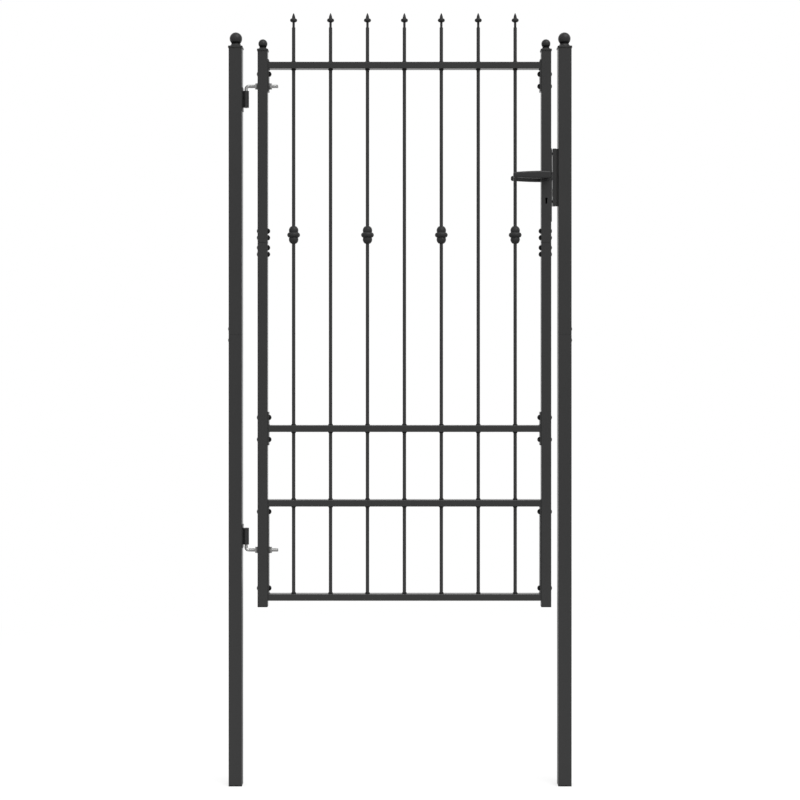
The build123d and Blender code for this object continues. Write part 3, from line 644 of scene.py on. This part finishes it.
class GATE_OT_coat_frame(bpy.types.Operator):
    """Coat posts, stiles, rails, pickets, plates, brackets, strike and bolts"""

    bl_idname = "gate.coat_frame"
    bl_label = "Coat the frame"

    def execute(self, context):
        settings = context.scene.gate_finish
        roughness = settings.coat_roughness
        tubes = powder_coat("grey_powder_coat", settings.coat_colour, roughness, settings.peel_depth)
        dress(tubes, COATED_TUBES)
        fittings = powder_coat("fitting_powder_coat", settings.fitting_colour, roughness,
                               settings.peel_depth)
        dress(fittings, COATED_FITTINGS)
        # The weld beads' dark colour is painted shade at the joints
        painted_casting("weld_coat", settings.weld_shade_colour, roughness=0.5)
        levels = screw_levels("post_splice_screws", SPLICE_HEAD)
        screws = socket_screw_coat("splice_screw_coat", settings.fitting_colour, levels)
        dress(screws, ["post_splice_screws"])
        return {"FINISHED"}


class GATE_OT_finish_castings(bpy.types.Operator):
    """Paint spears and collars"""

    bl_idname = "gate.finish_castings"
    bl_label = "Paint spears and collars"

    def execute(self, context):
        settings = context.scene.gate_finish
        paint = painted_casting("casting_paint", settings.casting_colour, roughness=0.42)
        dress(paint, SPEARS + COLLARS)
        return {"FINISHED"}


class GATE_OT_finish_plastics(bpy.types.Operator):
    """Finish ball caps, foot plugs and domed nuts"""

    bl_idname = "gate.finish_plastics"
    bl_label = "Finish caps, plugs and nuts"

    def execute(self, context):
        settings = context.scene.gate_finish
        # Each ball cap gets a ring of painted shade round its neck
        for caps, drop in CAP_NECKS.items():
            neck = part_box(caps)[1][2] - drop
            plastic = moulded_plastic(f"{caps}_plastic", settings.cap_colour, roughness=0.34,
                                      grain=0.02 * MM, neck=neck)
            dress(plastic, [caps])
        plugs = moulded_plastic("plug_plastic", settings.plug_colour, roughness=0.42, grain=0.05 * MM)
        dress(plugs, ["post_foot_plugs", "stile_foot_plugs", "stile_nuts"])
        return {"FINISHED"}


class GATE_OT_finish_hinges(bpy.types.Operator):
    """Plate the hinge hooks and their nuts with zinc, the hooks with a thread"""

    bl_idname = "gate.finish_hinges"
    bl_label = "Plate the hinge hooks"

    def execute(self, context):
        settings = context.scene.gate_finish
        for hook in HOOKS:
            low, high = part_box(hook)
            upper = hook == HOOKS[0]
            thread = {
                "level": high[2] - HOOK_RADIUS if upper else low[2] + HOOK_RADIUS,
                "pitch": settings.thread_pitch,
                "start": low[0] + HOOK_BEND,
                "end": high[0],
            }
            dress(zinc_plating(f"{hook}_zinc", settings.zinc_colour, thread), [hook])
        # The nuts get painted shade where the stile and other parts stand near them
        nuts = zinc_plating("hinge_nut_zinc", settings.zinc_colour, shade_reach=NUT_SHADE_REACH)
        dress(nuts, ["hinge_nuts"])
        return {"FINISHED"}


class GATE_OT_finish_lock(bpy.types.Operator):
    """Finish levers, roses, forend, screws, bolts, the lock's inner pieces and the sleeves"""

    bl_idname = "gate.finish_lock"
    bl_label = "Finish levers and lock"

    def execute(self, context):
        settings = context.scene.gate_finish
        levers = powder_coat("lever_coat", settings.lever_colour, roughness=0.36, peel=0.03 * MM,
                             scale=700.0)
        dress(levers, ["front_lever", "rear_lever", "lever_roses"])
        forend = powder_coat("forend_coat", settings.forend_colour, roughness=0.40, peel=0.04 * MM)
        dress(forend, ["lock_forend"])
        screws = (
            ("forend_screws", FOREND_HEAD, settings.zinc_colour),
            ("strike_screws", STRIKE_HEAD, settings.screw_colour),
        )
        for node, head, colour in screws:
            dress(screw_zinc(f"{node}_zinc", colour, screw_levels(node, head)), [node])
        # Each row: finish, colour, roughness, stretch of its lines along X, Y and Z, nodes
        steels = (
            ("lock_steel", settings.steel_colour, 0.34, (1.0, 1.0, 0.08),
             ["latch_bolt", "dead_bolt", "lever_spindle", "lock_follower"]),
            ("case_steel", settings.case_colour, 0.6, (1.0, 1.0, 0.2), ["lock_case"]),
            ("spring_steel", settings.steel_colour, 0.28, (1.0, 0.1, 1.0), ["latch_spring"]),
            ("sleeve_steel", settings.sleeve_colour, 0.5, (1.0, 1.0, 0.05),
             ["post_sleeves", "stile_sleeves"]),
        )
        for name, colour, roughness, lay, nodes in steels:
            dress(rolled_steel(name, colour, roughness, lay), nodes)
        return {"FINISHED"}


class GATE_OT_weld_pickets(bpy.types.Operator):
    """Lay a weld bead round each picket where it meets a rail"""

    bl_idname = "gate.weld_pickets"
    bl_label = "Weld the pickets"

    def execute(self, context):
        welds = context.scene.gate_welds
        mesh = bmesh.new()
        for picket in PICKETS:
            low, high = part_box(picket)
            x = (low[0] + high[0]) / 2
            radius = (high[0] - low[0]) / 2
            for rail in RAILS:
                bottom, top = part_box(rail)
                # The pickets end inside the bottom rail
                levels = [top[2]] if rail == "bottom_rail" else [bottom[2], top[2]]
                for z in levels:
                    path = ring_path((x, 0.0, z), radius + BEAD_SEAT, BEAD_STEP)
                    weld_bead(mesh, path, True, welds.picket_bead, welds.ripple, welds.picket_tallness)
        finish_piece("picket_weld_beads", mesh, weld_finish(), "leaf")
        return {"FINISHED"}


class GATE_OT_weld_rails(bpy.types.Operator):
    """Lay weld beads where the rails' ends meet their plates"""

    bl_idname = "gate.weld_rails"
    bl_label = "Weld the rails"

    def execute(self, context):
        welds = context.scene.gate_welds
        mesh = bmesh.new()
        for rail in RAILS:
            low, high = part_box(rail)
            levels = [low[2], high[2]]
            # The lower plates end level with the lower rail's top and the bottom rail's underside
            if rail == "lower_rail":
                levels = [low[2]]
            if rail == "bottom_rail":
                levels = [high[2]]
            for x in (low[0], high[0]):
                for z in levels:
                    path = straight_path((x, -RAIL_BEAD_HALF, z), (x, RAIL_BEAD_HALF, z), BEAD_STEP)
                    weld_bead(mesh, path, False, welds.rail_bead, welds.ripple)
        finish_piece("rail_weld_beads", mesh, weld_finish(), "leaf")
        return {"FINISHED"}


class GATE_OT_weld_brackets(bpy.types.Operator):
    """Lay weld beads along the hinge barrels and the edges of their plates"""

    bl_idname = "gate.weld_brackets"
    bl_label = "Weld the hinge brackets"

    def execute(self, context):
        welds = context.scene.gate_welds
        mesh = bmesh.new()
        for bracket, way in (("upper_hinge_bracket", 1), ("lower_hinge_bracket", -1)):
            low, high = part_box(bracket)
            centre = (low[2] + high[2]) / 2 + way * BARREL_SHIFT
            # Each row: X, distance from the middle plane, lower end, upper end
            beads = (
                (low[0] + BRACKET_PLATE, BARREL_BEAD_SIDE, centre - BARREL_HALF, centre + BARREL_HALF),
                (low[0], high[1], low[2] + PLATE_BEAD_INSET, high[2] - PLATE_BEAD_INSET),
            )
            for side in (-1, 1):
                for x, y, bottom, top in beads:
                    path = straight_path((x, side * y, bottom), (x, side * y, top), BEAD_STEP)
                    weld_bead(mesh, path, False, welds.bracket_bead, welds.ripple)
        finish_piece("bracket_weld_beads", mesh, weld_finish(), "posts")
        return {"FINISHED"}


class GATE_OT_fit_grub_screws(bpy.types.Operator):
    """Fit grub screws at the back of the collars and under the levers' necks"""

    bl_idname = "gate.fit_grub_screws"
    bl_label = "Fit the grub screws"

    def execute(self, context):
        settings = context.scene.gate_finish
        radius = context.scene.gate_welds.grub_radius
        black = moulded_plastic("grub_screw_black", settings.plug_colour, roughness=0.3, grain=0.01 * MM)
        mesh = bmesh.new()
        for collar in COLLARS:
            centre = middle(collar)
            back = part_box(collar)[1][1] + COLLAR_GRUB_PROUD
            socket_screw(mesh, (centre.x, back, centre.z), (0, 1, 0), radius, GRUB_LENGTH)
        finish_piece("collar_grub_screws", mesh, black, "leaf", smooth=False)
        mesh = bmesh.new()
        spindle = middle("lever_spindle")
        under = spindle.z - LEVER_NECK - LEVER_GRUB_PROUD
        for side in (-1, 1):
            place = (spindle.x, side * LEVER_GRUB_PLACE, under)
            socket_screw(mesh, place, (0, 0, -1), radius, GRUB_LENGTH)
        finish_piece("lever_grub_screws", mesh, black, "handle", smooth=False)
        return {"FINISHED"}


class GATE_OT_build_stage(bpy.types.Operator):
    """Build the floor, the light and the camera"""

    bl_idname = "gate.build_stage"
    bl_label = "Build the studio"

    def execute(self, context):
        stage = context.scene.gate_stage
        context.scene.view_settings.view_transform = "Standard"
        self.lay_floor(stage)
        self.light_up(stage)
        self.set_camera(stage)
        return {"FINISHED"}

    @staticmethod
    def rays(finish):
        """Two values: 1 for rays that see the white background as it is, and 1 for gloss."""
        camera, through, gloss = [finish.add("ShaderNodeLightPath", output=ray)
                                  for ray in ("Is Camera Ray", "Is Transmission Ray", "Is Glossy Ray")]
        return camera.larger(through), gloss

    @staticmethod
    def rising(finish, value, start, end):
        """A smooth rise from 0 to 1 as a value goes from start to end."""
        return finish.add("ShaderNodeMapRange", {"interpolation_type": "SMOOTHSTEP"},
                          {"Value": value, "From Min": start, "From Max": end})

    def lay_floor(self, stage):
        """A pale floor that keeps the gate's shadow and fades to white."""
        half = stage.floor_size / 2
        data = bpy.data.meshes.new("floor")
        corners = [(-half, -half, 0), (half, -half, 0), (half, half, 0), (-half, half, 0)]
        data.from_pydata(corners, [], [(0, 1, 2, 3)])
        floor = bpy.data.objects.new("floor", data)
        bpy.context.scene.collection.objects.link(floor)
        material, finish = new_finish("floor_pale")
        seen, gloss = self.rays(finish)
        mottle = 1.0 + finish.noise(scale=3.0).swing(0.04)
        shade = (seen + (1 - seen) * stage.floor_bounce) * mottle
        matt = finish.add("ShaderNodeBsdfPrincipled", None,
                          {"Base Color": finish.tint(stage.floor_colour, shade), "Roughness": 0.9,
                           "Specular IOR Level": 0.0})
        white = finish.add("ShaderNodeEmission", None, {"Color": (1, 1, 1, 1), "Strength": 1.0})
        x, y = finish.axes()[:2]
        away = self.rising(finish, (x * x + y * y) ** 0.5, *[share * half for share in FLOOR_FADE])
        plain = seen * (1 - (1 - away) * stage.shadow_share)
        whiteness = plain.larger(gloss * FLOOR_GLOSS)
        both = finish.add("ShaderNodeMixShader", None, {0: whiteness, 1: matt, 2: white})
        finish.add("ShaderNodeOutputMaterial", None, {"Surface": both})
        data.materials.append(material)

    def light_up(self, stage):
        """Soft light from all round, a white backdrop for gloss, and a key light."""
        world = bpy.data.worlds.new("studio")
        world.use_nodes = True
        finish = Finish(world.node_tree)
        seen, gloss = self.rays(finish)
        way = finish.add("ShaderNodeTexCoord", output="Generated")
        ahead, above = [finish.add("ShaderNodeSeparateXYZ", None, {0: way}, axis) for axis in "YZ"]
        sky = self.rising(finish, above, *HORIZON)
        dome = stage.ambient * (stage.floor_bounce + (1 - stage.floor_bounce) * sky)
        backdrop = self.rising(finish, ahead, *BACKDROP)
        mirrored = stage.room + (1 - stage.room) * backdrop
        lit = dome * (1 - gloss) + mirrored * gloss
        strength = seen + (1 - seen) * lit
        glow = finish.add("ShaderNodeBackground", None, {"Color": (1, 1, 1, 1), "Strength": strength})
        finish.add("ShaderNodeOutputWorld", None, {"Surface": glow})
        bpy.context.scene.world = world
        lamp = bpy.data.lights.new("key_light", "SUN")
        lamp.energy = stage.key_strength
        lamp.angle = KEY_SPREAD
        key = bpy.data.objects.new("key_light", lamp)
        key.rotation_euler = (KEY_TILT, 0, KEY_TURN)
        bpy.context.scene.collection.objects.link(key)

    def set_camera(self, stage):
        """A camera that stands where the photograph's did."""
        data = bpy.data.cameras.new("photo_camera")
        data.lens = stage.lens
        data.shift_x = stage.frame_side
        data.shift_y = stage.frame_rise
        camera = bpy.data.objects.new("photo_camera", data)
        camera.location = (0, -stage.camera_distance, stage.camera_height)
        camera.rotation_euler = (math.radians(90), 0, 0)
        bpy.context.scene.collection.objects.link(camera)
        bpy.context.scene.camera = camera


OPERATORS = (
    GATE_OT_coat_frame,
    GATE_OT_finish_castings,
    GATE_OT_finish_plastics,
    GATE_OT_finish_hinges,
    GATE_OT_finish_lock,
    GATE_OT_weld_pickets,
    GATE_OT_weld_rails,
    GATE_OT_weld_brackets,
    GATE_OT_fit_grub_screws,
    GATE_OT_build_stage,
)


class GATE_PT_panel(bpy.types.Panel):
    """Settings and steps of the gate's dressing"""

    bl_idname = "GATE_PT_panel"
    bl_label = "Garden gate"
    bl_space_type = "VIEW_3D"
    bl_region_type = "UI"
    bl_category = "Gate"

    def draw(self, context):
        for settings in (context.scene.gate_finish, context.scene.gate_welds, context.scene.gate_stage):
            box = self.layout.box()
            for name in settings.__annotations__:
                box.prop(settings, name)
        for operator in OPERATORS:
            self.layout.operator(operator.bl_idname)


SETTINGS = {
    "gate_finish": GateFinishSettings,
    "gate_welds": GateWeldSettings,
    "gate_stage": GateStageSettings,
}
CLASSES = (*SETTINGS.values(), *OPERATORS, GATE_PT_panel)


def register():
    """Register the classes and give the scene its settings."""
    for cls in CLASSES:
        bpy.utils.register_class(cls)
    for name, cls in SETTINGS.items():
        setattr(bpy.types.Scene, name, PointerProperty(type=cls))


def unregister():
    """Take the settings and the classes away again."""
    for name in SETTINGS:
        delattr(bpy.types.Scene, name)
    for cls in reversed(CLASSES):
        bpy.utils.unregister_class(cls)


def main():
    """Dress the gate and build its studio."""
    register()
    bpy.ops.gate.coat_frame()
    bpy.ops.gate.finish_castings()
    bpy.ops.gate.finish_plastics()
    bpy.ops.gate.finish_hinges()
    bpy.ops.gate.finish_lock()
    bpy.ops.gate.weld_pickets()
    bpy.ops.gate.weld_rails()
    bpy.ops.gate.weld_brackets()
    bpy.ops.gate.fit_grub_screws()
    bpy.ops.gate.build_stage()


if __name__ == "__main__":
    main()
